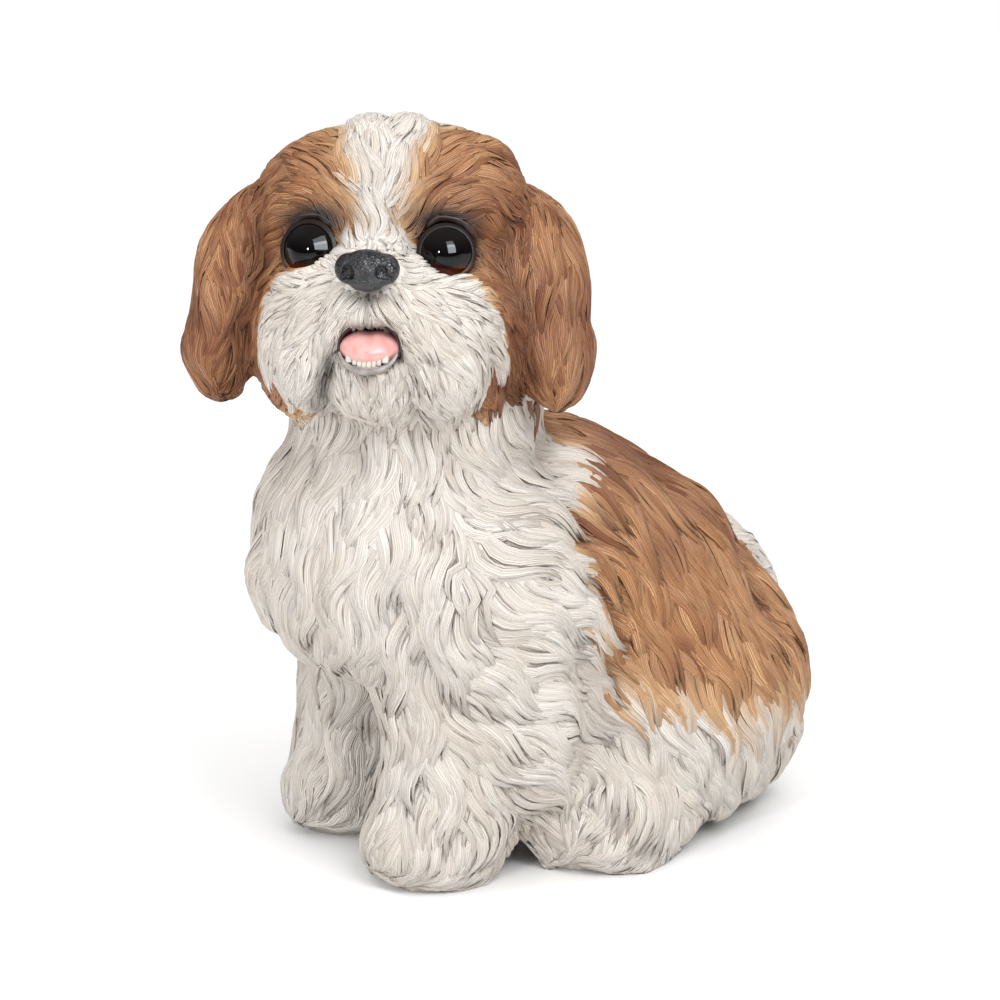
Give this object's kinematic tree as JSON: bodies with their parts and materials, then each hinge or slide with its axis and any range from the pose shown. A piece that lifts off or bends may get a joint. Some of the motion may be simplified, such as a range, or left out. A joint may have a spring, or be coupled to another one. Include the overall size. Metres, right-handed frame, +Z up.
{
  "type": "shih tzu statue",
  "caption": "Life-size cast and painted resin statue of a sitting shih tzu puppy with sculpted wavy coat, head turned to its left, for display on a floor, shelf or lawn.",
  "frame": {"origin": "middle of the bounding box's underside, on the floor", "axes": "the dog's body faces -Y, +X is its left, +Z up; the head turns to its left"},
  "size_m": [0.184, 0.2892, 0.3151],
  "materials": {
    "white_coat": "cast resin, painted warm white with a grey-brown wash in the grooves, satin",
    "brown_coat": "cast resin, airbrushed chestnut and tan over white, satin",
    "black_gloss": "black paint under gloss lacquer",
    "eye_glass": "set-in dark brown eye, polished like glass",
    "tongue_pink": "pink paint, satin lacquer",
    "tooth_white": "off-white paint, lacquered"
  },
  "bodies": {
    "root": {"back": "brown_coat", "chest": "white_coat", "chin": "white_coat", "ear_left": "brown_coat", "ear_right": "brown_coat", "eye_left": "eye_glass", "eye_right": "eye_glass", "eyelid_left": "black_gloss", "eyelid_right": "black_gloss", "foreleg_left": "white_coat", "foreleg_right": "white_coat", "forepaw_left": "white_coat", "forepaw_right": "white_coat", "head": "brown_coat", "hindpaw_left": "white_coat", "hindpaw_right": "white_coat", "lower_teeth": "tooth_white", "muzzle": "white_coat", "neck": "white_coat", "nose": "black_gloss", "rump": "white_coat", "tail": "white_coat", "thigh_left": "white_coat", "thigh_right": "white_coat", "tongue": "tongue_pink"}
  },
  "joints": []
}
